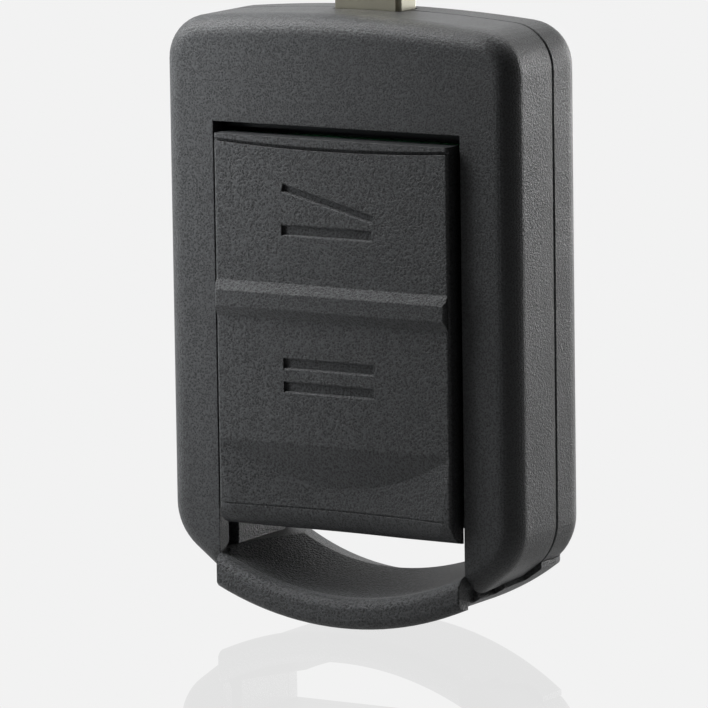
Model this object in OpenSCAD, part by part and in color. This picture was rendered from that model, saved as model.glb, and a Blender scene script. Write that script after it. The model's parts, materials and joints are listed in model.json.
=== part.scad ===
// Car key fob: a two-button remote with a fixed key blade.
// It stands as it hangs from the ignition, blade up: +Z runs along the key, the buttons
// face -Y and +X is to the right of someone who looks at the buttons.
// The origin is below the middle of the case, level with the foot of the key ring bow.

/* [Case outline] */
// Width of the case
case_w = 36; // [35:0.5:40]
// Height of the case at its middle
case_h = 54.6; // [54:0.2:58]
// Radius of the arched top edge
arch_r = 157; // [100:1:300]
// Radius of the two upper corners
top_corner_r = 4; // [3:0.5:6]
// Radius of the two lower corners
low_corner_r = 5.2; // [4:0.2:6]
// Height at which the straight sides run into the lower corners
side_foot_z = 10; // [9.6:0.1:10.6]
// Slope of the straight stretch below each lower corner, in degrees
foot_slope = 37; // [34:1:40]

/* [Shells] */
// Depth of the front shell, from its face to the parting plane
front_depth = 7.1; // [6.9:0.1:8]
// Depth of the rear shell, from the parting plane to the back
rear_depth = 5.6; // [5.4:0.1:7]
// Thickness of the front wall and the back wall
face_wall = 1.5; // [1.2:0.05:1.6]
// Thickness of the side walls
side_wall = 1.4; // [1.1:0.1:1.6]
// Rounding of the front edge
front_round = 1.9; // [1.5:0.1:2.6]
// Rounding of the back edge
rear_round = 2.9; // [2:0.1:3.5]
// Depth of the small bevel along the parting line
seam_bevel = 0.16; // [0.1:0.02:0.3]
// Gap between the two shells at the parting plane
seam_gap = 0.06; // [0.04:0.01:0.1]
// Gap between the shells and what they enclose
shell_gap = 0.15; // [0.1:0.01:0.2]
// Height where the rear shell ends above the key ring bow
rear_foot_z = 6.2; // [6:0.1:6.6]

/* [Front window] */
// Width of the window between the two legs of the front shell
window_w = 25.4; // [24.6:0.1:26]
// Distance from the case's top down to the window's upper edge
window_drop = 9.9; // [9.4:0.1:10.4]
// Half the distance between the tips of the two legs at the front face
leg_tip_x = 13.4; // [13.2:0.1:13.8]
// Height where the inner edge of each leg bends outwards
leg_bend_z = 5.6; // [5.2:0.1:6]
// Tilt of the legs' slanted ends, in degrees
leg_tilt = 21; // [18:1:24]
// How far the slanted ends turn outwards towards the back, in degrees
leg_turn = 12.5; // [10:0.5:14]

/* [Button rocker] */
// Gap between the rocker and each side of the window
rocker_side_gap = 0.65; // [0.5:0.05:0.8]
// Gap between the rocker and the top of the window
rocker_top_gap = 0.95; // [0.8:0.05:1.2]
// Height of the rocker's lower edge
rocker_foot_z = 8.5; // [8.4:0.1:8.8]
// How far the rocker stands in front of the case
rocker_proud = 1.05; // [0.6:0.05:1.2]
// Thickness of the rocker behind the case's front face
rocker_back = 1; // [0.8:0.1:1.2]
// Radius of the rocker's rounded front edges
rocker_edge_r = 0.35; // [0.2:0.05:0.5]
// Radius of the large rounding along the rocker's lower edge
rocker_foot_r = 2; // [1.8:0.05:2.1]
// Height of the ridge's upper foot
ridge_top_z = 30.75; // [30:0.05:31.5]
// Height of the ridge from its upper foot to its lower foot
ridge_h = 3.2; // [2.8:0.1:3.6]
// Length of the ridge's bright upper slope, up and down
ridge_slope_h = 0.9; // [0.7:0.05:1.1]
// Length of the ridge's lower slope, up and down
ridge_under_h = 0.9; // [0.6:0.05:1.1]
// How far the ridge stands out of the rocker
ridge_proud = 0.5; // [0.3:0.05:0.8]
// Height of the straight upper edge of the thumb scoop
scoop_top_z = 16.45; // [16:0.05:17]
// Length of the scoop's slope at the middle of the rocker
scoop_h = 3.85; // [3.4:0.05:4.2]
// Depth of the scoop at the middle of the rocker
scoop_depth = 0.95; // [0.6:0.05:1.1]
// Depth of the scoop at its lower end, where the large rounding begins
scoop_foot_depth = 0.88; // [0.76:0.02:0.92]
// Distance from the rocker's upper edge down to its fine groove, at the middle
groove_drop = 0.9; // [0.7:0.05:1.1]

/* [Button symbols] */
// Length of the engraved bars
symbol_w = 9.3; // [8:0.1:10]
// Width of the level bars
bar_w = 0.8; // [0.6:0.05:1]
// Width of the slanted bar
slant_bar_w = 0.55; // [0.4:0.05:0.8]
// Depth of the engraving
engrave = 0.3; // [0.2:0.05:0.4]
// Width of the bevel along the bars' long edges
bar_bevel = 0.12; // [0.06:0.02:0.16]
// How far the symbols sit to the left of the middle
symbol_shift = 0.4; // [0:0.1:0.6]
// Height of the upper symbol's level bar
open_bar_z = 35.5; // [35.2:0.1:35.8]
// Height of the slanted bar's right end above the level bar
open_gap = 1.5; // [1.4:0.05:1.8]
// Angle of the slanted bar
open_tilt = 14; // [12:0.5:16]
// Height of the lower symbol's upper bar
shut_bar_z = 23.6; // [23.2:0.1:24]
// Distance between the lower symbol's two bars
shut_pitch = 2.1; // [1.8:0.05:2.3]

/* [Rocker pivot] */
// Depth of the pivot behind the case's front face
pivot_y = 2.4; // [2.2:0.1:2.6]
// Height of the pivot
pivot_z = 29; // [28.6:0.1:29.4]
// Radius of the pivot pins
pivot_pin_r = 0.6; // [0.5:0.05:0.7]
// Running clearance round the pivot pins
pivot_gap = 0.05; // [0.03:0.01:0.08]
// Wall of the eyes that hold the pivot pins
pivot_eye_wall = 0.75; // [0.6:0.05:0.8]
// Distance from the case's top down to the upper button's switch
open_switch_drop = 17.3; // [16.8:0.1:17.8]
// Height of the lower button's switch
shut_switch_z = 22.5; // [22:0.1:23]

/* [Key ring bow] */
// Radius of the bow's outer edge
bow_r = 27; // [26:0.5:29]
// Radius of the outer edge of the bow's front lip, a little flatter than the bow
lip_r = 31; // [29:0.5:33]
// Radial width of the lip
lip_w = 2.75; // [2.6:0.05:2.85]
// How far the lip stands in front of the case
lip_proud = 0.9; // [0.6:0.1:1.1]
// Radius of the lip's rounded front edges
lip_round = 0.95; // [0.6:0.05:1.1]
// Width of the groove behind the lip
lip_groove = 0.45; // [0.3:0.05:0.5]
// Height of the bow's inner face at its middle, just behind the lip
bow_in_front_z = 2.75; // [2.7:0.05:3.1]
// Height of the bow's inner face at its middle, at its moulding line
bow_in_rear_z = 3.9; // [3.7:0.05:4.1]
// Radius of the bow's inner face in front of its moulding line
bow_front_r = 27; // [26:0.5:28]
// Radius of the bow's inner face behind its moulding line
bow_in_r = 23; // [22:0.5:26]
// Depth of the moulding line behind the case's front face
bow_line_y = 6; // [5.6:0.1:6.4]
// Depth from which the inner face falls away towards the back
bow_fall_y = 9; // [8.6:0.1:9.6]
// Slope of that rear stretch of the inner face, in degrees
bow_fall = 13.5; // [10:0.5:14]
// How far the bow's sides stand in from the sides of the case
bow_inset = 1.7; // [1.5:0.1:2]
// Width of the pry slot beside the right leg
pry_w = 1.7; // [1.2:0.1:1.8]
// Depth of the pry slot into the bow
pry_depth = 1.1; // [0.8:0.1:1.4]

/* [Key blade] */
// Width of the blade
blade_w = 6.6; // [6:0.1:8]
// Thickness of the blade
blade_t = 2.8; // [2.4:0.1:3]
// Depth of the blade's middle plane behind the case's front face
blade_y = 7.15; // [7.1:0.05:7.3]
// Length of the blade that stands out of the case
blade_out = 42; // [36:1:46]
// Depth of the blade's tang inside the case
tang_depth = 8; // [7:0.2:8.2]
// Width of the milled track
track_w = 2.2; // [1.8:0.1:2.6]
// Depth of the milled track in each face
track_depth = 0.8; // [0.5:0.05:0.9]
// Length of one step of the track
track_step = 3.4; // [3:0.1:4]
// Radius of the pin that locks the tang
tang_pin_r = 0.8; // [0.6:0.05:1]

/* [Electronics] */
// Thickness of the circuit board
board_t = 1; // [0.8:0.1:1.2]
// Depth of the board's front side behind the case's front face
board_y = 5.4; // [5.2:0.1:5.6]
// Height of the board's lower edge
board_foot_z = 11.8; // [11.4:0.1:12.2]
// Distance from the case's top down to the board's upper edge
board_drop = 11.4; // [11.2:0.1:12]
// Width of a switch, square
switch_w = 5.2; // [4.6:0.1:5.4]
// Height of a switch's base over the board
switch_h = 1.3; // [1.2:0.05:1.4]
// Thickness of a switch's steel cover
switch_cover_t = 0.18; // [0.15:0.01:0.2]
// Radius of a switch's plunger
plunger_r = 1; // [0.8:0.05:1.2]
// How far a plunger stands out of the cover
plunger_out = 0.42; // [0.36:0.02:0.5]
// Travel of a plunger
plunger_travel = 0.25; // [0.2:0.01:0.3]
// Diameter of the coin cell
cell_d = 20; // [19.8:0.1:20.2]
// Thickness of the coin cell
cell_t = 3.2; // [3:0.1:3.2]
// Height of the coin cell's middle
cell_z = 24.5; // [24:0.1:25]
// Thickness of the key mat's sheet
mat_t = 0.65; // [0.5:0.05:0.7]
// Half width of the key mat
mat_half_w = 10.4; // [10:0.1:10.6]

/* [Hidden] */
$fn = 64;
tiny = 0.01;
half_w = case_w / 2;
case_depth = front_depth + rear_depth;
window_half = window_w / 2;
window_top_z = case_h - window_drop;
rocker_w = window_w - 2 * rocker_side_gap;
rocker_top_z = window_top_z - rocker_top_gap;
rocker_front_y = -rocker_proud;
scoop_mid_z = scoop_top_z - scoop_h;
scoop_line_z = rocker_foot_z + rocker_foot_r;
scoop_foot_r = rocker_foot_r + 0.35;
scoop_line_y = rocker_front_y + scoop_foot_depth;
scoop_rise = (scoop_depth - scoop_foot_depth) / (scoop_mid_z - scoop_line_z);
scoop_edge_depth = scoop_depth + scoop_rise * scoop_h;
scoop_r = (pow(rocker_w / 2, 2) + pow(scoop_edge_depth, 2)) / (2 * scoop_edge_depth);
ridge_front_y = rocker_front_y - ridge_proud;
frame_y = (case_depth + ridge_front_y) / 2;
inner_gap = side_wall + shell_gap;
cavity_tip_x = leg_tip_x + 0.1;
back_in_y = case_depth - face_wall - shell_gap;
arch_z = case_h - arch_r;
arch_half = asin((half_w - top_corner_r) / (arch_r - top_corner_r));
top_corner_z = arch_z + (arch_r - top_corner_r) * cos(arch_half);
block_foot_z = rocker_top_z + 0.25;
block_front_y = face_wall + 0.9;
web_z = 9.4;
web_t = 1.4;
floor_t = 0.75;
wall_t = 1.3;
bow_z = bow_r;
board_back_y = board_y + board_t;
board_top_z = case_h - board_drop;
open_switch_z = case_h - open_switch_drop;
mat_y = switch_top_y() - mat_t;
eye_x = window_half + 0.25;
eye_w = (half_w - side_wall - window_half) / 2;
eye_r = pivot_pin_r + pivot_gap + pivot_eye_wall;
tang_foot_z = case_h - tang_depth;
blade_gap = 0.25;
cell_y = board_back_y + 0.55;
ridge_inset = 0.15;
cell_rim = 0.4;
cell_seal_t = 0.3;
cell_cap_t = 0.6;
switch_floor = 0.3;
dome_r = 4;
dome_rim = plunger_r + 0.5;
dome_rise = dome_r - sqrt(dome_r * dome_r - dome_rim * dome_rim);
lip_back_y = 0.45;
fine_line = 0.15;
bow_overlap = 4;
lip_bevel = 0.12;
bow_gap = 0.08;
arm_front_y = 3.2;
lip_end_x = window_half - 0.1;
pry_angle = 31.2;
pry_front_y = 0.8;
pry_back_y = 4.4;
bow_half_w = half_w - bow_inset;
lip_step = 0.05;
// Side steps of the blade's milled track, each one left, middle or right
track_offsets = [0, 0.9, 0.3, -0.9, -0.2, 1, -0.8, 0.5, 0, 0];
dark = "#3c3f42";

function switch_top_y() = board_y - switch_h - switch_cover_t - plunger_out - 0.05;
function arc(x, z, r, a0, a1, n) =
    [for (i = [0:n]) let (a = a0 + (a1 - a0) * i / n) [x + r * cos(a), z + r * sin(a)]];
function mirrored(pts) = [for (i = [len(pts) - 1:-1:0]) [-pts[i][0], pts[i][1]]];

// Right half of the case's outline, from the foot to the top, moved in by e
function right_outline(e, tip_x) = let (
        r = max(low_corner_r - e, 0.2),
        x = half_w - low_corner_r,
        a = foot_slope - 90,
        foot_x = x + r * cos(a),
        foot_z = side_foot_z + r * sin(a)
    ) concat(
        [[tip_x, foot_z - (foot_x - tip_x) * tan(foot_slope)]],
        arc(x, side_foot_z, r, a, 0, 8),
        arc(half_w - top_corner_r, top_corner_z, max(top_corner_r - e, 0.2),
            0, 90 - arch_half, 10),
        arc(0, arch_z, arch_r - e, 90 - arch_half, 90, 8));
function case_outline(e, tip_x) = let (right = right_outline(e, tip_x))
    concat(right, mirrored(right));

// Stands the parts on the frame's origin
module in_case() {
    translate([0, -frame_y, 0]) children();
}

// Turns a drawing in X and Z into a slab from depth y0 to depth y1
module slab(y0, y1) {
    translate([0, y1, 0]) rotate([90, 0, 0]) linear_extrude(y1 - y0) children();
}

module block(x0, x1, y0, y1, z0, z1) {
    translate([x0, y0, z0]) cube([x1 - x0, y1 - y0, z1 - z0]);
}

// A round bar along Y
module rod_y(x, z, r, y0, y1) {
    translate([x, y1, z]) rotate([90, 0, 0]) cylinder(h = y1 - y0, r = r);
}

// A round bar along X
module rod_x(y, z, r, x0, x1) {
    translate([x0, y, z]) rotate([0, 90, 0]) cylinder(h = x1 - x0, r = r);
}

module both_sides() {
    children();
    mirror([1, 0, 0]) children();
}

// The outer form of the front half, its front edge rounded
module front_form() {
    y1 = front_depth - seam_gap / 2;
    hull() {
        for (a = [0:9:90]) {
            y = front_round * (1 - sin(a));
            slab(y, y + tiny) polygon(case_outline(front_round * (1 - cos(a)), leg_tip_x));
        }
        slab(y1 - seam_bevel - tiny, y1 - seam_bevel) polygon(case_outline(0, leg_tip_x));
        slab(y1 - tiny, y1) polygon(case_outline(seam_bevel, leg_tip_x));
    }
}

// The outer form of the rear half, its back edge rounded
module rear_form() {
    y0 = front_depth + seam_gap / 2;
    hull() {
        slab(y0, y0 + tiny) polygon(case_outline(seam_bevel, leg_tip_x));
        slab(y0 + seam_bevel, y0 + seam_bevel + tiny) polygon(case_outline(0, leg_tip_x));
        for (a = [0:9:90]) {
            y = case_depth - rear_round * (1 - sin(a));
            slab(y - tiny, y) polygon(case_outline(rear_round * (1 - cos(a)), leg_tip_x));
        }
    }
}

// What the slot for the blade takes out of both shells
module blade_slot() {
    block(-blade_w / 2 - blade_gap, blade_w / 2 + blade_gap,
          blade_y - blade_t / 2 - blade_gap, blade_y + blade_t / 2 + blade_gap,
          tang_foot_z, case_h + 1);
}

// What lies inside the slanted end of the right leg, moved inwards by gap
module beside_leg(gap) {
    translate([window_half, 0, leg_bend_z]) rotate([0, -leg_tilt, 0]) rotate([0, 0, -leg_turn])
        block(-half_w, -gap, -2, front_depth + 6, -12, 12);
}

module front_shell() {
    color(dark) in_case() difference() {
        union() {
            difference() {
                front_form();
                slab(face_wall, front_depth + 1)
                    polygon(case_outline(side_wall, cavity_tip_x));
                both_sides() intersection() {
                    beside_leg(0);
                    block(0, half_w, -1, front_depth + 1, -1, side_foot_z + 2);
                }
            }
            both_sides() {
                rod_x(pivot_y, pivot_z, eye_r, eye_x, eye_x + eye_w);
                block(eye_x, eye_x + eye_w, face_wall - tiny, pivot_y,
                      pivot_z - eye_r, pivot_z + eye_r);
            }
        }
        block(-window_half, window_half, -1, face_wall + 1, -1, window_top_z);
        blade_slot();
        both_sides() rod_x(pivot_y, pivot_z, pivot_pin_r + pivot_gap, window_half, eye_x + eye_w);
    }
}

module rear_shell() {
    color(dark) in_case() difference() {
        rear_form();
        slab(front_depth, case_depth - face_wall)
            polygon(case_outline(side_wall, cavity_tip_x));
        block(-half_w, half_w, 0, case_depth + 1, -1, rear_foot_z);
        block(-window_half, window_half, 0, case_depth + 1, -1, web_z);
        blade_slot();
        // room for the arms of the key ring bow
        both_sides() block(window_half - shell_gap, window_half + wall_t + shell_gap,
                           0, case_depth - face_wall, rear_foot_z - 1, side_foot_z);
    }
}

// The ring that the bow's lip is swept along, round an axis through the bow's centre
module lip_profile(r_mid) {
    half = lip_w / 2;
    y_back = lip_groove / 2 + lip_back_y;
    translate([r_mid - half, -y_back]) square([lip_w, y_back + lip_proud - lip_round]);
    translate([r_mid - half + lip_round, -y_back])
        square([lip_w - 2 * lip_round, y_back + lip_proud]);
    for (side = [-1, 1])
        translate([r_mid + side * (half - lip_round), lip_proud - lip_round])
            circle(r = lip_round);
}

module bow_lip() {
    corner_z = lip_r - sqrt(lip_r * lip_r - lip_end_x * lip_end_x) - 1;
    difference() {
        translate([0, 0, lip_r]) rotate([90, 0, 0]) rotate_extrude($fn = 160)
            lip_profile(lip_r - lip_w / 2);
        block(-lip_r - 1, lip_r + 1, -2, 2, 8, 2 * lip_r + 1);
        both_sides() {
            block(lip_end_x, lip_r, -2, 2, -1, bow_z);
            // bevels on the lower and the front edge of each end
            slab(-2, 2) polygon([[lip_end_x - lip_bevel, corner_z], [lip_r, corner_z],
                                 [lip_end_x + lip_bevel, corner_z + 4 * lip_bevel]]);
            translate([0, 0, -1]) linear_extrude(bow_z)
                polygon([[lip_end_x - lip_bevel, -lip_proud], [lip_end_x, -lip_proud - 1],
                         [lip_r, -lip_proud - 1],
                         [lip_end_x + tiny, lip_bevel - lip_proud]]);
        }
    }
}

// A rectangle that is w wide to each side and reaches from y0 to y1, its corners at y1
// rounded
module round_backed(w, y0, y1, r) {
    translate([-w, y0]) square([2 * w, y1 - r - y0]);
    translate([-w + r, y0]) square([2 * (w - r), y1 - y0]);
    for (side = [-1, 1]) translate([side * (w - r), y1 - r]) circle(r = r);
}

// The bow behind its lip, before its inner face is cut
module bow_form() {
    intersection() {
        translate([0, 0, bow_z]) rotate([-90, 0, 0]) rotate_extrude() intersection() {
            round_backed(bow_r - lip_step, lip_groove, case_depth, rear_round);
            translate([bow_z - side_foot_z, -1]) square([bow_r, case_depth + 2]);
        }
        translate([0, 0, -1]) linear_extrude(bow_z)
            round_backed(bow_half_w, -1, case_depth, rear_round);
    }
}

// What is taken away over the bow's inner face: it rises to the moulding line, runs
// level behind it and falls away at the back
module bow_inside() {
    rise = atan((bow_in_rear_z - bow_in_front_z) / bow_line_y);
    level_z = bow_in_rear_z + 0.1;
    long = bow_line_y / cos(rise);
    translate([0, 0, bow_in_front_z + bow_front_r]) rotate([90 + rise, 0, 0])
        translate([0, 0, -long]) cylinder(h = 2 * long, r = bow_front_r, $fn = 200);
    // moulding line
    translate([0, bow_line_y - fine_line / 2, level_z + bow_in_r]) rotate([-90, 0, 0])
        cylinder(h = fine_line, r = bow_in_r + fine_line, $fn = 200);
    translate([0, bow_line_y, level_z + bow_in_r]) rotate([-90, 0, 0])
        cylinder(h = case_depth, r = bow_in_r, $fn = 200);
    translate([0, bow_fall_y + bow_in_r * sin(bow_fall), level_z + bow_in_r * cos(bow_fall)])
        rotate([-90 - bow_fall, 0, 0]) translate([0, 0, -bow_overlap])
            cylinder(h = bow_line_y + bow_overlap, r = bow_in_r, $fn = 200);
}

module turned_about(z, a) {
    translate([0, 0, z]) rotate([0, -a, 0]) children();
}

module key_ring_bow() {
    side_y = face_wall + shell_gap;
    color("#35383b") in_case() {
        difference() {
            union() {
                difference() {
                    bow_form();
                    block(-half_w, half_w, -1, case_depth + 1,
                          rear_foot_z - bow_gap, bow_z + 1);
                    bow_inside();
                }
                // arms that run up beside the key ring window
                both_sides() block(window_half, window_half + wall_t, arm_front_y, back_in_y,
                                   rear_foot_z - 1, web_z + web_t);
            }
            // room for the two legs of the front shell
            both_sides() difference() {
                block(window_half - shell_gap, half_w, -1, front_depth + 0.1, -1, bow_z);
                slab(side_y, front_depth + 1)
                    polygon(case_outline(inner_gap, cavity_tip_x));
                intersection() {
                    beside_leg(shell_gap);
                    block(0, half_w, side_y, front_depth + 1, -1, bow_z);
                }
            }
            // groove behind the lip
            translate([0, lip_groove + lip_back_y, bow_z]) rotate([90, 0, 0])
                rotate_extrude($fn = 200)
                translate([bow_in_r - 4, 0])
                    square([bow_r - 1.4 - bow_in_r + 4, lip_groove]);
            // pry slot beside the right leg
            turned_about(bow_z, pry_angle)
                block(-pry_w / 2, pry_w / 2, pry_front_y, pry_back_y,
                      -bow_r - 1, -bow_r + pry_depth);
        }
        bow_lip();
    }
}

module chassis() {
    color("#35383b") in_case() difference() {
        union() {
            // wall round the board and solid bed under it
            intersection() {
                difference() {
                    slab(4.2, back_in_y) polygon(case_outline(inner_gap, window_half));
                    slab(4.1, board_back_y) polygon(case_outline(inner_gap + wall_t, 1));
                }
                block(-half_w, half_w, 0, case_depth, web_z + web_t, case_h);
            }
            // head block that holds the blade
            intersection() {
                slab(block_front_y, back_in_y) polygon(case_outline(inner_gap, 1));
                block(-window_half, window_half, 0, case_depth, block_foot_z, case_h);
            }
            // web over the key ring window
            block(-window_half, window_half, arm_front_y, back_in_y, web_z, web_z + web_t);
        }
        rod_y(0, cell_z, cell_d / 2 + 0.2, 0, back_in_y - floor_t);
        // room for the plus contact beside the cell
        block(cell_d / 2 - 1.2, cell_d / 2 + 1.1, 0, back_in_y - floor_t,
              cell_z - 2.2, cell_z + 2.2);
        // lightening pockets
        for (side = [-1, 1])
            block(side * 8 - 4.5, side * 8 + 4.5, 0, back_in_y - floor_t,
                  cell_z + cell_d / 2 + 1.6, board_top_z - 1);
        block(-blade_w / 2, blade_w / 2, blade_y - blade_t / 2, blade_y + blade_t / 2,
              tang_foot_z, case_h);
        rod_y(0, case_h - tang_depth / 2 - 0.4, tang_pin_r, 5.45, back_in_y + 1);
        block(-6.1, 6.1, block_front_y - 1, 5.3, tang_foot_z + 0.3, tang_foot_z + 6.4);
    }
}

// One engraved bar with square ends, its long edges bevelled
module bar_cut(w, h) {
    near = rocker_front_y - 1;
    step = rocker_front_y + bar_bevel;
    wide = h / 2 + bar_bevel + 1;
    rotate([90, 0, 90]) translate([0, 0, -w / 2]) linear_extrude(w)
        polygon([[near, -wide], [step, -h / 2], [rocker_front_y + engrave, -h / 2],
                 [rocker_front_y + engrave, h / 2], [step, h / 2], [near, wide]]);
}

module symbols() {
    half = symbol_w / 2;
    translate([-symbol_shift, 0, open_bar_z]) bar_cut(symbol_w, bar_w);
    translate([-symbol_shift + half, 0, open_bar_z + open_gap])
        rotate([0, open_tilt, 0]) translate([-half, 0, 0])
            bar_cut(symbol_w / cos(open_tilt), slant_bar_w);
    for (row = [0, 1])
        translate([-symbol_shift, 0, shut_bar_z - row * shut_pitch]) bar_cut(symbol_w, bar_w);
}

// The round-edged section of the rocker, moved forward by out and narrowed by inset
module rocker_section(out, inset) {
    half = rocker_w / 2 - inset;
    front = rocker_front_y - out;
    translate([-half, front + rocker_edge_r])
        square([2 * half, rocker_back - front - rocker_edge_r]);
    translate([-half + rocker_edge_r, front])
        square([2 * (half - rocker_edge_r), rocker_back - front]);
    for (side = [-1, 1])
        translate([side * (half - rocker_edge_r), front + rocker_edge_r])
            circle(r = rocker_edge_r);
}

// The ridge seen from the side
module ridge_side() {
    low_z = ridge_top_z - ridge_h;
    polygon([[0, low_z], [rocker_front_y, low_z], [ridge_front_y, low_z + ridge_under_h],
             [ridge_front_y, ridge_top_z - ridge_slope_h], [rocker_front_y, ridge_top_z],
             [0, ridge_top_z]]);
}

// What the thumb scoop takes away: a slope below its straight upper edge, a hollow that
// comes forward a little towards its foot, and a fine line where the large rounding begins
module scoop() {
    intersection() {
        rotate([90, 0, 90]) translate([0, 0, -half_w]) linear_extrude(case_w)
            polygon([[rocker_front_y, scoop_top_z],
                     [rocker_front_y + scoop_depth + tiny, scoop_mid_z],
                     [rocker_front_y + scoop_depth + tiny, 0],
                     [rocker_front_y - 2, 0], [rocker_front_y - 2, scoop_top_z]]);
        translate([0, scoop_line_y, scoop_line_z]) rotate([-atan(scoop_rise), 0, 0])
            translate([0, -scoop_r, -rocker_foot_r - 1])
                cylinder(h = scoop_top_z, r = scoop_r, $fn = 160);
    }
    translate([0, scoop_line_y - scoop_r, scoop_line_z])
        cylinder(h = fine_line, r = scoop_r + fine_line / 2, $fn = 160);
}

// The section of what a large rounding of radius r takes away
module foot_corner(r) {
    difference() {
        translate([-r - 1, -r - 1]) square(r + 1);
        circle(r = r);
    }
}

module button_rocker() {
    half = rocker_w / 2;
    color("#35383a") in_case() difference() {
        union() {
            translate([0, 0, rocker_foot_z])
                linear_extrude(rocker_top_z - rocker_foot_z) rocker_section(0, 0);
            intersection() {
                translate([0, 0, ridge_top_z - ridge_h])
                    linear_extrude(ridge_h) rocker_section(ridge_proud, ridge_inset);
                rotate([90, 0, 90]) translate([0, 0, -half]) linear_extrude(rocker_w)
                    ridge_side();
            }
            both_sides() {
                block(half - 1.2, half, 0, pivot_y, pivot_z - 1.2, pivot_z + 1.2);
                rod_x(pivot_y, pivot_z, 1.2, half - 1.2, half);
                rod_x(pivot_y, pivot_z, pivot_pin_r, half - tiny, eye_x + eye_w - 0.2);
            }
            for (z = [open_switch_z, shut_switch_z])
                rod_y(0, z, 1.8, 0, mat_y - 0.05);
        }
        symbols();
        scoop();
        // large rounding along the lower edge, at the sides and along the scoop
        translate([0, rocker_front_y + rocker_foot_r, scoop_line_z])
            rotate([90, 0, 90]) translate([0, 0, -half_w]) linear_extrude(case_w)
                foot_corner(rocker_foot_r);
        translate([0, scoop_line_y - scoop_r, scoop_line_z]) rotate_extrude($fn = 160)
            translate([scoop_r + scoop_foot_r, 0]) foot_corner(scoop_foot_r);
        // narrow groove under the upper rim, bowed a little downwards
        top_groove();
    }
}

module top_groove() {
    groove_r = 177;
    translate([0, rocker_front_y - 1, rocker_top_z - groove_drop + groove_r])
        rotate([-90, 0, 0])
        difference() {
            cylinder(h = 1.3, r = groove_r + fine_line, $fn = 360);
            translate([0, 0, -1]) cylinder(h = 4, r = groove_r - fine_line, $fn = 360);
        }
}

module key_mat() {
    foot = board_foot_z + 0.6;
    top = board_top_z - 0.6;
    color("#26282a") in_case() {
        block(-mat_half_w, mat_half_w, mat_y, mat_y + mat_t, foot, top);
        difference() {
            block(-mat_half_w, mat_half_w, mat_y + mat_t - tiny, board_y, foot, top);
            block(-mat_half_w + 1, mat_half_w - 1, mat_y, board_y + 1, foot + 1, top - 1);
        }
    }
}

module circuit_board() {
    half = half_w - inner_gap - wall_t - 0.15;
    color("#1f5a34") in_case() difference() {
        intersection() {
            slab(board_y, board_back_y)
                polygon(case_outline(inner_gap + wall_t + 0.15, 1));
            block(-half, half, 0, case_depth, board_foot_z, board_top_z);
        }
        both_sides() rod_y(half - 1.6, board_foot_z + 3, 0.7, 0, case_depth);
    }
}

// The four pieces of a small push switch whose middle is at height z
module switch_base(z) {
    half = switch_w / 2;
    color("#2b2b2b") in_case() difference() {
        block(-half, half, board_y - switch_h, board_y, z - half, z + half);
        rod_y(0, z, plunger_r + 0.6, board_y - switch_h - 1, board_y - switch_floor);
    }
}

module switch_cover(z) {
    half = switch_w / 2;
    y1 = board_y - switch_h;
    color("#b9bcc0") in_case() difference() {
        block(-half, half, y1 - switch_cover_t, y1, z - half, z + half);
        rod_y(0, z, plunger_r + 0.06, y1 - 1, y1 + 1);
    }
}

module switch_plunger(z) {
    y0 = board_y - switch_h - switch_cover_t - plunger_out;
    y1 = board_y - switch_floor - dome_rise - 0.03;
    color("#e4e4de") in_case() {
        rod_y(0, z, plunger_r, y0, y1);
        rod_y(0, z, plunger_r + 0.3, board_y - switch_h + 0.02, y1);
    }
}

module switch_dome(z) {
    color("#c9ccd0") in_case() translate([0, board_y - switch_floor, z]) rotate([90, 0, 0])
        rotate_extrude() intersection() {
            translate([0, dome_rise - dome_r]) difference() {
                circle(r = dome_r, $fn = 128);
                circle(r = dome_r - 0.08, $fn = 128);
            }
            square([dome_rim, 1]);
        }
}

module open_switch_base() { switch_base(open_switch_z); }
module open_switch_cover() { switch_cover(open_switch_z); }
module open_switch_plunger() { switch_plunger(open_switch_z); }
module open_switch_dome() { switch_dome(open_switch_z); }
module shut_switch_base() { switch_base(shut_switch_z); }
module shut_switch_cover() { switch_cover(shut_switch_z); }
module shut_switch_plunger() { switch_plunger(shut_switch_z); }
module shut_switch_dome() { switch_dome(shut_switch_z); }

module cell_can() {
    color("#c4c7ca") in_case() difference() {
        rod_y(0, cell_z, cell_d / 2, cell_y + 0.3, cell_y + cell_t);
        rod_y(0, cell_z, cell_d / 2 - cell_rim, cell_y, cell_y + cell_cap_t);
    }
}

module cell_seal() {
    color("#d8d8d0") in_case() difference() {
        rod_y(0, cell_z, cell_d / 2 - cell_rim, cell_y + 0.25, cell_y + cell_cap_t);
        rod_y(0, cell_z, cell_d / 2 - cell_rim - cell_seal_t, cell_y, cell_y + 1);
    }
}

module cell_cap() {
    color("#b8bbbe") in_case()
        rod_y(0, cell_z, cell_d / 2 - cell_rim - cell_seal_t, cell_y, cell_y + cell_cap_t);
}

module plus_contact() {
    x = cell_d / 2 + 0.02;
    color("#cfc9a8") in_case() {
        block(x, x + 0.3, board_back_y, cell_y + 2.8, cell_z - 1.6, cell_z + 1.6);
        block(x - 0.9, x + 0.3, board_back_y, board_back_y + 0.25,
              cell_z - 1.6, cell_z + 1.6);
    }
}

module minus_contact() {
    color("#cfc9a8") in_case() {
        block(-5, 5, board_back_y, board_back_y + 0.2, cell_z - 2, cell_z + 2);
        block(-1.5, 1.5, board_back_y, cell_y, cell_z - 1.2, cell_z + 1.2);
    }
}

// A flat component on the board's front side
module on_board(x, z, w, h, t) {
    block(x - w / 2, x + w / 2, board_y - t, board_y, z - h / 2, z + h / 2);
}

module microcontroller() {
    color("#1c1c1e") in_case() {
        on_board(-6, 30, 4.4, 6.4, 1.2);
        for (side = [-1, 1], i = [-3:3])
            on_board(-6 + side * 2.6, 30 + i * 0.8, 0.8, 0.3, 0.25);
    }
}

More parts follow.
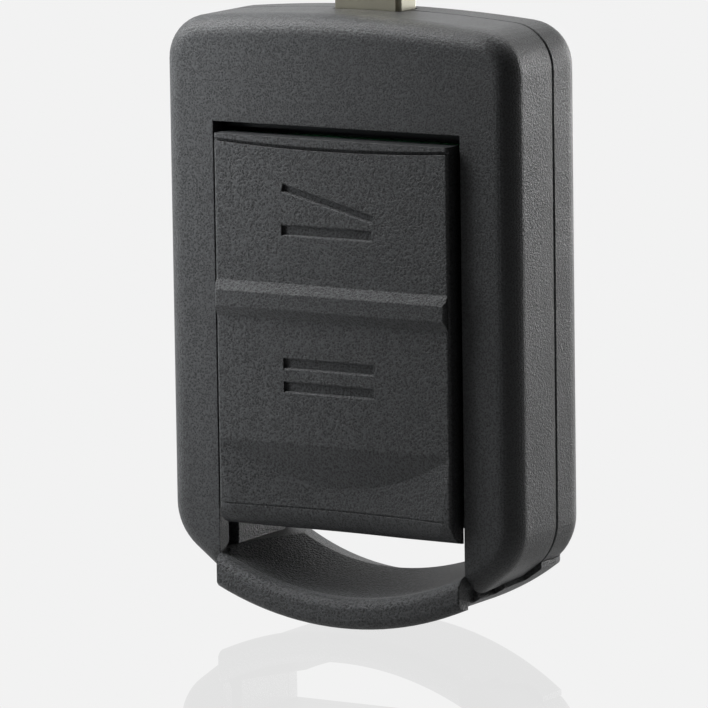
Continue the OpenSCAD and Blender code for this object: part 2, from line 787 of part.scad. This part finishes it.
module resonator_can() {
    color("#c9cbce") in_case() on_board(5.6, 30, 5, 5, 1.4);
}

module quartz_crystal() {
    color("#bfc2c6") in_case() on_board(6.4, 23.6, 3.2, 2.5, 0.8);
}

module tuning_coil() {
    color("#8c4a1e") in_case() difference() {
        on_board(-6.4, 22.6, 3.2, 3.2, 1.5);
        rod_y(-6.4, 22.6, 0.9, board_y - 2, board_y - 0.5);
    }
}

module buffer_capacitor() {
    color("#c7922b") in_case() on_board(6.2, board_top_z - 6, 2.8, 3.5, 1.4);
}

module chip_components() {
    top = board_top_z;
    foot = board_foot_z;
    places = [[-7, top - 7.6], [-7, top - 5.2], [-4.6, top - 2.8], [5, top - 2.6],
              [-7, foot + 5.2], [-4, foot + 4], [0, foot + 3.6], [4, foot + 4],
              [7, foot + 5.2]];
    color("#7d6a54") in_case() for (p = places) on_board(p[0], p[1], 2, 1.2, 0.6);
}

module antenna_loop() {
    outer = half_w - inner_gap - wall_t - 1.2;
    strip = 0.9;
    foot = board_foot_z + 5;
    top = board_top_z - 1;
    color("#b8733a") in_case() difference() {
        block(-outer, outer, board_y - 0.3, board_y, foot, top);
        block(-outer + strip, outer - strip, 0, case_depth, foot + strip, top - strip);
        block(-2, 2, 0, case_depth, top - strip - 1, top + 1);
        block(-mat_half_w - 0.2, mat_half_w + 0.2, 0, case_depth, foot - 1, top + 1);
    }
}

module transponder_chip() {
    color("#1b1b1d") in_case()
        block(-6, 6, block_front_y, 5.3, tang_foot_z + 0.4, tang_foot_z + 6.3);
}

// The blade's outline: a straight strip with a bevelled point
module blade_outline() {
    half = blade_w / 2;
    top = case_h + blade_out;
    polygon([[-half, tang_foot_z], [half, tang_foot_z], [half, top - 3.2],
             [1, top], [-1, top], [-half, top - 3.2]]);
}

// The milled track in one face of the blade
module track() {
    z0 = case_h + 6;
    for (i = [0:len(track_offsets) - 2]) {
        a = [track_offsets[i], z0 + i * track_step];
        b = [track_offsets[i + 1], z0 + (i + 1) * track_step];
        run = atan2(b[1] - a[1], b[0] - a[0]);
        translate(a) circle(r = track_w / 2);
        translate(a) rotate(run) translate([0, -track_w / 2])
            square([norm(b - a), track_w]);
    }
    translate([0, z0 + (len(track_offsets) - 1) * track_step]) circle(r = track_w / 2);
}

module key_blade() {
    y0 = blade_y - blade_t / 2;
    y1 = blade_y + blade_t / 2;
    half = blade_w / 2;
    color("#a3a294") in_case() difference() {
        slab(y0, y1) blade_outline();
        slab(y0 - 1, y0 + track_depth) track();
        slab(y1 - track_depth, y1 + 1) track();
        // rebate along one front edge
        block(half - 0.4, half + 1, y0 - 1, y0 + 0.4, case_h - 1, case_h + blade_out + 1);
        rod_y(0, case_h - tang_depth / 2 - 0.4, tang_pin_r, y0 - 1, y1 + 1);
    }
}

module tang_pin() {
    color("#8f9296") in_case()
        rod_y(0, case_h - tang_depth / 2 - 0.4, tang_pin_r, 5.5, back_in_y - 0.2);
}

front_shell();
rear_shell();
chassis();
key_ring_bow();
button_rocker();
key_mat();
circuit_board();
open_switch_base();
open_switch_cover();
open_switch_plunger();
open_switch_dome();
shut_switch_base();
shut_switch_cover();
shut_switch_plunger();
shut_switch_dome();
cell_can();
cell_seal();
cell_cap();
plus_contact();
minus_contact();
microcontroller();
resonator_can();
quartz_crystal();
tuning_coil();
buffer_capacitor();
chip_components();
antenna_loop();
transponder_chip();
key_blade();
tang_pin();
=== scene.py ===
# %% [markdown]
# # A car key fob in dark moulded plastic
# This lesson dresses a finished construction model in materials, puts it in a small photo
# studio and aims a long lens at it. Every solid comes from the CAD model, so nothing here
# moves or reshapes it. The lesson's subject is the surface: how light meets dark plastic
# that was given its grain by the mould.

import json
import math

import bpy
from mathutils import Matrix, Vector

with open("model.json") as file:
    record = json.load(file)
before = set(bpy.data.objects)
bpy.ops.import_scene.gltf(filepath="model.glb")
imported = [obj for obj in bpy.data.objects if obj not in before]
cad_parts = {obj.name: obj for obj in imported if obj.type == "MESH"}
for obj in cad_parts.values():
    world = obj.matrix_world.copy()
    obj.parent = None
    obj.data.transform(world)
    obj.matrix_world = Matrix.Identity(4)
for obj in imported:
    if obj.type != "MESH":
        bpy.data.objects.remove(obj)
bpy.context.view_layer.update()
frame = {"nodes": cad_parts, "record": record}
nodes = frame["nodes"]
MM = 0.001
print(len(nodes), "solids loaded")

# %% [markdown]
# ## Smooth normals
# The rounded edges of the case are stacks of narrow flat strips. On the real part they are
# one continuous curve. Shading by angle blends the normals across neighbouring strips and
# keeps every real edge crisp, without moving a single vertex.

# %% Smooth the shading of every solid
SMOOTH_ANGLE = math.radians(24)


def shade_by_angle(obj, angle):
    mesh = obj.data
    mesh.shade_smooth()
    mesh.set_sharp_from_angle(angle=angle)


for obj in nodes.values():
    shade_by_angle(obj, SMOOTH_ANGLE)
print("shaded smooth up to", round(math.degrees(SMOOTH_ANGLE)), "degrees")

# %% [markdown]
# ## Colour helpers
# Colours are written the way a colour picker shows them, as sRGB hex. Shaders work in
# linear light, so one function converts them.

# %% Turn sRGB hex into linear colour


def linear(hex_colour):
    value = hex_colour.lstrip("#")
    out = []
    for k in (0, 2, 4):
        c = int(value[k:k + 2], 16) / 255
        out.append(c / 12.92 if c <= 0.04045 else ((c + 0.055) / 1.055) ** 2.4)
    return (*out, 1.0)


print("mid grey is", [round(c, 3) for c in linear("#808080")[:3]])

# %% [markdown]
# ## Building node trees
# A material is a graph. One small function adds a node, sets its values and makes its
# links, so that each recipe below reads from top to bottom like a list of layers.

# %% A function that adds a node with settings and links


def new_material(name):
    material = bpy.data.materials.new(name)
    material.use_nodes = True
    material.node_tree.nodes.clear()
    return material


def add(tree, kind, links=None, **settings):
    """Adds a node. Keys that name an input set it, other keys set the node itself."""
    node = tree.nodes.new(kind)
    for key, value in settings.items():
        if key in node.inputs:
            node.inputs[key].default_value = value
        else:
            setattr(node, key, value)
    for key, socket in (links or {}).items():
        tree.links.new(socket, node.inputs[key])
    return node


def finish_material(tree, shader):
    add(tree, "ShaderNodeOutputMaterial", {"Surface": shader})


def limits(from_min, from_max, to_min, to_max):
    """Settings for a node that maps one span of values onto another."""
    names = ("From Min", "From Max", "To Min", "To Max")
    return dict(zip(names, (from_min, from_max, to_min, to_max)))


# Blender's noise rarely leaves this span, so it is what gets mapped.
NOISE_LOW, NOISE_HIGH = 0.3, 0.7
WHITE = (1.0, 1.0, 1.0, 1.0)
print("node helper ready")

# %% [markdown]
# ## Spark-eroded plastic
# The case is ABS. Its mould was etched by sparks, which leaves a fine, even field of tiny
# craters, so the moulding looks like very fine sandpaper: dark, with a broad soft sheen.
# Three things make that here. A small-celled Voronoi field and a finer noise field add up
# to the grain's height. The same field is also painted into the colour as light and shade:
# it darkens the bottoms of the craters with painted shade, where light would be trapped,
# and brightens the crests with painted glints. That keeps the grain visible as dark and
# bright dots where the light falls flat and a bump alone would vanish. And a Bevel node
# rounds the shading of every hard edge by a tenth of a millimetre, because no moulding
# leaves its tool with razor edges.
# Etched ABS scatters part of its sheen among the craters, so its specular level is low.
#
# The rocker and the ring bow were etched more coarsely than the case around them, and the
# inner frame hardly at all. So the same recipe is used four times, each time with its own
# cell size, height and contrast.

# %% Grained plastic
ABS_IOR = 1.54
GRAIN_SHEEN = 0.28
FIELD_LOW, FIELD_HIGH = 0.55, 1.0
# The painted crater shade keeps at least this share of the colour.
DARKEST_PAINTED_SHADE = 0.05


def grained_plastic(name, colour, grain_mm, height_mm, roughness, edge_mm, painted_speckle_strength):
    material = new_material(name)
    tree = material.node_tree
    place = add(tree, "ShaderNodeTexCoord").outputs["Object"]
    cells = add(tree, "ShaderNodeTexVoronoi", {"Vector": place},
                feature="SMOOTH_F1", Scale=1 / (grain_mm * MM), Smoothness=0.6)
    fine = add(tree, "ShaderNodeTexNoise", {"Vector": place},
               Scale=1 / (0.45 * grain_mm * MM), Detail=3.0, Roughness=0.6)
    cloud = add(tree, "ShaderNodeTexNoise", {"Vector": place},
                Scale=1 / (6 * MM), Detail=2.0)
    field = add(tree, "ShaderNodeMath",
                {0: cells.outputs["Distance"], 2: fine.outputs["Fac"]},
                operation="MULTIPLY_ADD")
    field.inputs[1].default_value = 0.8
    # Painted shade and glints: the grain field darkens the crater bottoms and lightens the
    # crests in the base colour.
    painted_shade_and_glints = add(tree, "ShaderNodeMapRange", {"Value": field.outputs[0]},
               **limits(FIELD_LOW, FIELD_HIGH, max(1 - painted_speckle_strength, DARKEST_PAINTED_SHADE), 1 + painted_speckle_strength))
    # The Mix node holds sockets for every data type. 6 and 7 are its two colours.
    base = add(tree, "ShaderNodeMix", data_type="RGBA", blend_type="MULTIPLY")
    base.inputs[0].default_value = 1.0
    base.inputs[6].default_value = linear(colour)
    tree.links.new(painted_shade_and_glints.outputs[0], base.inputs[7])
    rough = add(tree, "ShaderNodeMapRange", {"Value": cloud.outputs["Fac"]},
                **limits(NOISE_LOW, NOISE_HIGH, roughness - 0.03, roughness + 0.03))
    edge = add(tree, "ShaderNodeBevel", samples=6, Radius=edge_mm * MM)
    bump = add(tree, "ShaderNodeBump",
               {"Height": field.outputs[0], "Normal": edge.outputs["Normal"]},
               Strength=1.0, Distance=height_mm * MM)
    shader = add(tree, "ShaderNodeBsdfPrincipled",
                 {"Base Color": base.outputs[2], "Roughness": rough.outputs[0],
                  "Normal": bump.outputs["Normal"]},
                 IOR=ABS_IOR)
    shader.inputs["Specular IOR Level"].default_value = GRAIN_SHEEN
    finish_material(tree, shader.outputs["BSDF"])
    return material


# The last number sets how strongly the painted shade and glints mark the grain.
shell_plastic = grained_plastic("fine grained ABS", "#262728", 0.17, 0.04, 0.44, 0.12, 0.8)
button_plastic = grained_plastic("coarse grained ABS", "#252627", 0.2, 0.075, 0.48, 0.12, 0.9)
bow_plastic = grained_plastic("coarse grained bow ABS", "#2a2b2c", 0.22, 0.09, 0.46, 0.15, 1.1)
frame_plastic = grained_plastic("inner frame ABS", "#242628", 0.16, 0.004, 0.5, 0.1, 0.06)
for plastic in (shell_plastic, button_plastic, bow_plastic, frame_plastic):
    print(plastic.name, "with", len(plastic.node_tree.nodes), "nodes")

# %% [markdown]
# ## Metal
# The blade is nickel silver, a pale, slightly yellow copper alloy, brushed along its
# length and milled. The small steel cans and covers on the board are plainer. Each is a
# full metal whose roughness and fine relief follow one noise. On the blade that noise is
# squeezed, which draws it out into streaks along the length.

# %% Brushed metal


def brushed_metal(name, colour, roughness, stretch, streak_mm):
    material = new_material(name)
    tree = material.node_tree
    place = add(tree, "ShaderNodeTexCoord").outputs["Object"]
    squeeze = add(tree, "ShaderNodeMapping", {"Vector": place}, Scale=stretch)
    streaks = add(tree, "ShaderNodeTexNoise", {"Vector": squeeze.outputs[0]},
                  Scale=1 / (streak_mm * MM), Detail=3.0)
    rough = add(tree, "ShaderNodeMapRange", {"Value": streaks.outputs["Fac"]},
                **limits(NOISE_LOW, NOISE_HIGH, roughness - 0.06, roughness + 0.06))
    edge = add(tree, "ShaderNodeBevel", samples=4, Radius=0.06 * MM)
    bump = add(tree, "ShaderNodeBump",
               {"Height": streaks.outputs["Fac"], "Normal": edge.outputs["Normal"]},
               Strength=0.5, Distance=0.004 * MM)
    shader = add(tree, "ShaderNodeBsdfPrincipled",
                 {"Roughness": rough.outputs[0], "Normal": bump.outputs["Normal"]},
                 Metallic=1.0)
    shader.inputs["Base Color"].default_value = linear(colour)
    finish_material(tree, shader.outputs["BSDF"])
    return material


EVEN = (1, 1, 1)
ALONG_BLADE = (1, 1, 0.06)
blade_metal = brushed_metal("milled nickel silver", "#b0ad9d", 0.38, ALONG_BLADE, 0.12)
steel = brushed_metal("plated spring steel", "#b4b7ba", 0.3, EVEN, 0.3)
cell_steel = brushed_metal("nickel plated cell", "#c4c6c8", 0.22, EVEN, 0.5)
bronze = brushed_metal("contact bronze", "#c2a76a", 0.3, EVEN, 0.3)
copper = brushed_metal("bare copper", "#b96f45", 0.32, EVEN, 0.3)
for metal in (blade_metal, steel, cell_steel, bronze, copper):
    print(metal.name, "with", len(metal.node_tree.nodes), "nodes")

# %% [markdown]
# ## Everything inside
# The board and its parts are small and mostly plain: solder mask over glass laminate,
# moulded epoxy, fired ceramic, silicone. A smooth plastic with a little variation in its
# roughness is enough for each.

# %% Plain materials for the inner parts


def plain(name, colour, roughness, ior):
    material = new_material(name)
    tree = material.node_tree
    place = add(tree, "ShaderNodeTexCoord").outputs["Object"]
    cloud = add(tree, "ShaderNodeTexNoise", {"Vector": place}, Scale=1 / (0.6 * MM), Detail=3.0)
    rough = add(tree, "ShaderNodeMapRange", {"Value": cloud.outputs["Fac"]},
                **limits(NOISE_LOW, NOISE_HIGH, roughness - 0.05, roughness + 0.05))
    shader = add(tree, "ShaderNodeBsdfPrincipled", {"Roughness": rough.outputs[0]}, IOR=ior)
    shader.inputs["Base Color"].default_value = linear(colour)
    finish_material(tree, shader.outputs["BSDF"])
    return material


print("plain finish ready")

# %% [markdown]
# ## The list of finishes
# Every finish has a slot name, which the record uses too. The plain ones are made on the
# spot from a colour, a roughness and the material's usual index of refraction.

# %% List the finishes by slot
finishes = {
    "shell_plastic": shell_plastic,
    "button_plastic": button_plastic,
    "bow_plastic": bow_plastic,
    "frame_plastic": frame_plastic,
    "blade_steel": blade_metal,
    "part_steel": steel,
    "cell_steel": cell_steel,
    "contact_bronze": bronze,
    "copper_wire": copper,
    "copper_track": copper,
    "mat_rubber": plain("silicone key mat", "#2a2c2d", 0.6, 1.41),
    "board_laminate": plain("green solder mask", "#1c5a33", 0.3, 1.55),
    "seal_nylon": plain("white nylon seal", "#d9d9d0", 0.45, 1.53),
    "chip_resin": plain("black moulding epoxy", "#1d1d1f", 0.5, 1.55),
    "capacitor_resin": plain("ochre moulding epoxy", "#cf9a2d", 0.4, 1.55),
    "chip_ceramic": plain("fired ceramic chip", "#8d7758", 0.45, 1.6),
    "plunger_acetal": plain("white acetal", "#e2e2da", 0.35, 1.48),
}
print(len(finishes), "finishes")

# %% [markdown]
# ## Dressing the solids
# The record says which finish each solid takes. Looking it up there keeps the lesson and
# the library's record in step.

# %% Give every solid its finish
for part in frame["record"]["subparts"]:
    obj = nodes[part["node"]]
    obj.data.materials.clear()
    obj.data.materials.append(finishes[part["material_slot"]])

# %% [markdown]
# ## The camera
# The picture was taken with a long lens from the right and a little above. The key stands
# on end, with its blade running out of the top of the frame. Position, aim and tilt were
# measured from the picture's own perspective. The lens is so long that the sides of the
# case hardly converge.

# %% Find the camera's place and tilt
TURN = math.radians(31.242)
HEIGHT = math.radians(8.648)
TILT = math.radians(0.793)
DISTANCE = 628.2
FRONT_FACE_Y = -5.575
PIVOT = Vector((0, 6.5 + FRONT_FACE_Y, 28.6))
SHIFT_RIGHT, SHIFT_UP = 1.92, 4.83
toward = Vector((math.sin(TURN) * math.cos(HEIGHT), -math.cos(TURN) * math.cos(HEIGHT),
                 math.sin(HEIGHT)))
level = Vector((math.cos(TURN), math.sin(TURN), 0))
upward = toward.cross(level)
right = math.cos(TILT) * level - math.sin(TILT) * upward
up = math.sin(TILT) * level + math.cos(TILT) * upward
spot = (PIVOT + DISTANCE * toward) * MM
aim = spot - (DISTANCE * toward + SHIFT_RIGHT * right + SHIFT_UP * up) * MM
back = (spot - aim).normalized()
side = up.cross(back).normalized()
head = back.cross(side)
print("camera turned", round(math.degrees(TURN), 1), "degrees to the right")

# %% [markdown]
# A camera looks along its own -Z, with +Y as its top. So the three directions found above
# are the columns of its matrix, and the place is the last column.

# %% Set up the camera
SENSOR, LENS = 36, 359.45
PICTURE = 708
camera = bpy.data.objects.new("photo camera", bpy.data.cameras.new("photo camera"))
bpy.context.scene.collection.objects.link(camera)
camera.data.sensor_width = SENSOR
camera.data.lens = LENS
camera.data.clip_start = 0.01
camera.data.dof.use_dof = False
axes = (side, head, back)
camera.matrix_world = Matrix.Translation(spot) @ Matrix(axes).transposed().to_4x4()
bpy.context.scene.camera = camera
bpy.context.scene.render.resolution_x = PICTURE
bpy.context.scene.render.resolution_y = PICTURE
print("camera", [round(v / MM) for v in spot], "mm")

# %% [markdown]
# ## The studio
# A pale sweep fills the background almost white, and a polished floor shows a faint mirror
# image of the ring bow. The background must not light the key's own colour: a dark object
# in a glowing white room goes grey and flat. So the floor and the air glow only for rays
# from the camera, off a gloss or through glass. Every other ray finds a dull grey floor
# and almost no light.

# %% Find the rays that see the background


def sees_background(tree):
    """Is 1 for rays from the camera, off a gloss or through glass, 0 for all others."""
    path = add(tree, "ShaderNodeLightPath")
    direct = add(tree, "ShaderNodeMath",
                 {0: path.outputs["Is Camera Ray"], 1: path.outputs["Is Glossy Ray"]},
                 operation="MAXIMUM")
    return add(tree, "ShaderNodeMath",
               {0: direct.outputs[0], 1: path.outputs["Is Transmission Ray"]},
               operation="MAXIMUM").outputs[0]


print("background rays ready")

# %% [markdown]
# The pale sweep stands behind the key, and the photographer's side of the studio is dark.
# The blade and the sheen on the plastic show that: the glow falls off towards the front.
# That darkens the front and the rounded edge beside it, while the top and the side mirror
# the pale background at a low angle. The camera itself sees the same pale tone all round.

# %% A glow that falls off towards the photographer
BACKDROP = "#f2f2f2"
DARK_SIDE = 0.3


def room_glow(tree, point, back_end, front_end):
    """Full strength for the camera and the mirror, less towards the photographer."""
    path = add(tree, "ShaderNodeLightPath")
    direct = add(tree, "ShaderNodeMath",
                 {0: path.outputs["Is Camera Ray"], 1: path.outputs["Is Singular Ray"]},
                 operation="MAXIMUM")
    forward = add(tree, "ShaderNodeVectorMath", {0: point}, operation="DOT_PRODUCT")
    forward.inputs[1].default_value = toward
    fall = add(tree, "ShaderNodeMapRange", {"Value": forward.outputs["Value"]},
               **limits(back_end, front_end, 1.0, DARK_SIDE))
    return add(tree, "ShaderNodeMath", {0: direct.outputs[0], 1: fall.outputs[0]},
               operation="MAXIMUM").outputs[0]


print("glow of", BACKDROP, "down to", DARK_SIDE)

# %% [markdown]
# The floor's mirror fades out a few centimetres from the key, so that it shows the ring
# bow and not the soft boxes farther off. Seen from beneath the floor is clear, so that
# the underside of the key can be looked at too.

# %% The sweep's material
MIRROR = 0.15
MIRROR_FULL, MIRROR_GONE = 60 * MM, 120 * MM
FLOOR_FALL = (-50 * MM, 100 * MM)


def backdrop_material():
    material = new_material("pale sweep")
    tree = material.node_tree
    where = add(tree, "ShaderNodeNewGeometry")
    glow = add(tree, "ShaderNodeEmission",
               {"Strength": room_glow(tree, where.outputs["Position"], *FLOOR_FALL)})
    glow.inputs["Color"].default_value = linear(BACKDROP)
    paper = add(tree, "ShaderNodeBsdfPrincipled", Roughness=0.9)
    paper.inputs["Base Color"].default_value = linear("#6a6a6a")
    mirror = add(tree, "ShaderNodeBsdfGlossy", Roughness=0.0)
    mirror.inputs["Color"].default_value = WHITE
    reach = add(tree, "ShaderNodeVectorMath", {0: where.outputs["Position"]},
                operation="LENGTH")
    fade = add(tree, "ShaderNodeMapRange", {"Value": reach.outputs["Value"]},
               **limits(MIRROR_FULL, MIRROR_GONE, MIRROR, 0.0))
    polished = add(tree, "ShaderNodeMixShader",
                   {0: fade.outputs[0], 1: glow.outputs[0], 2: mirror.outputs[0]})
    shader = add(tree, "ShaderNodeMixShader",
                 {0: sees_background(tree), 1: paper.outputs[0], 2: polished.outputs[0]})
    clear = add(tree, "ShaderNodeBsdfTransparent")
    floor_shader = add(tree, "ShaderNodeMixShader",
                       {0: where.outputs["Backfacing"], 1: shader.outputs[0],
                        2: clear.outputs[0]})
    finish_material(tree, floor_shader.outputs[0])
    return material


sweep = backdrop_material()
print(sweep.name, "with", len(sweep.node_tree.nodes), "nodes")

# %% [markdown]
# The floor is one square, a hair below the lowest point of the key. It belongs to the
# studio and not to the key.

# %% Lay the floor
FLOOR_REACH = 900
FLOOR_Z = -0.2
corners = [(-FLOOR_REACH, -FLOOR_REACH, FLOOR_Z), (FLOOR_REACH, -FLOOR_REACH, FLOOR_Z),
           (FLOOR_REACH, FLOOR_REACH, FLOOR_Z), (-FLOOR_REACH, FLOOR_REACH, FLOOR_Z)]
floor_mesh = bpy.data.meshes.new("studio floor")
floor_mesh.from_pydata([tuple(MM * v for v in corner) for corner in corners], [],
                       [(0, 1, 2, 3)])
floor_mesh.materials.append(sweep)
floor = bpy.data.objects.new("studio floor", floor_mesh)
bpy.context.scene.collection.objects.link(floor)
print("floor", 2 * FLOOR_REACH, "mm square")

# %% [markdown]
# ## Light
# Each soft box is an area light. A dark plastic shows little of its own colour: most of
# what the eye reads is the soft reflection of the boxes, so their place and size matter
# more than their strength. Two large boxes stand behind the key. They graze its top and
# its right side, which outlines the case. The front is left to two small ones on the left:
# a high one for the ridge and the slopes, and a narrow strip so close to the case that its
# light falls away across the front, from mid grey on the left to nearly black on the
# right. That fall is what makes a flat dark face look solid.
#
# The strip is so close that the floor's mirror would show it as a white bar. It therefore
# gives no gloss, and lights only the plastic's own colour.

# %% Place the soft boxes


def soft_box(name, place, aim, size, watts):
    light = bpy.data.lights.new(name, "AREA")
    light.shape = "RECTANGLE"
    light.size, light.size_y = (s * MM for s in size)
    light.energy = watts
    obj = bpy.data.objects.new(name, light)
    obj.location = Vector(place) * MM
    gaze = (Vector(aim) - Vector(place)).to_track_quat("-Z", "Y")
    obj.rotation_euler = gaze.to_euler()
    bpy.context.scene.collection.objects.link(obj)
    return obj


MIDDLE = (0, 0, 30)
FACE = (-4, -6, 30)
strip = soft_box("left strip", (-33, -25, 36), FACE, (10, 150), 0.07)
strip.visible_glossy = False
boxes = [
    strip,
    soft_box("upper left box", (-66, -36, 118), MIDDLE, (46, 46), 0.16),
    soft_box("top box", (-40, 180, 380), MIDDLE, (260, 260), 1.1),
    soft_box("right rear box", (80, 430, 15), MIDDLE, (110, 200), 1.2),
]
print(len(boxes), "soft boxes,", round(sum(b.data.energy for b in boxes), 2), "W in all")

# %% [markdown]
# ## The air around
# The world closes the room above the floor. It follows the floor's rule: pale for the rays
# that see the background, and a faint cool fill for all others. Its glow falls off by
# direction, where the floor's falls off by place.

# %% Set up the world
WORLD_FALL = (-0.3, 0.3)
FILL = 0.03
world = bpy.data.worlds.new("studio air")
bpy.context.scene.world = world
world.use_nodes = True
world.node_tree.nodes.clear()
gaze = add(world.node_tree, "ShaderNodeTexCoord").outputs["Generated"]
seen = add(world.node_tree, "ShaderNodeBackground",
           {"Strength": room_glow(world.node_tree, gaze, *WORLD_FALL)})
seen.inputs["Color"].default_value = linear(BACKDROP)
felt = add(world.node_tree, "ShaderNodeBackground", Strength=FILL)
felt.inputs["Color"].default_value = linear("#e8ecf0")
air = add(world.node_tree, "ShaderNodeMixShader",
          {0: sees_background(world.node_tree), 1: felt.outputs[0], 2: seen.outputs[0]})
add(world.node_tree, "ShaderNodeOutputWorld", {"Surface": air.outputs[0]})
bpy.context.scene.view_settings.view_transform = "Standard"
print("fill of", FILL, "and a background of", BACKDROP)

# %% [markdown]
# ## Finish

# %% Finish


print("scene finished")
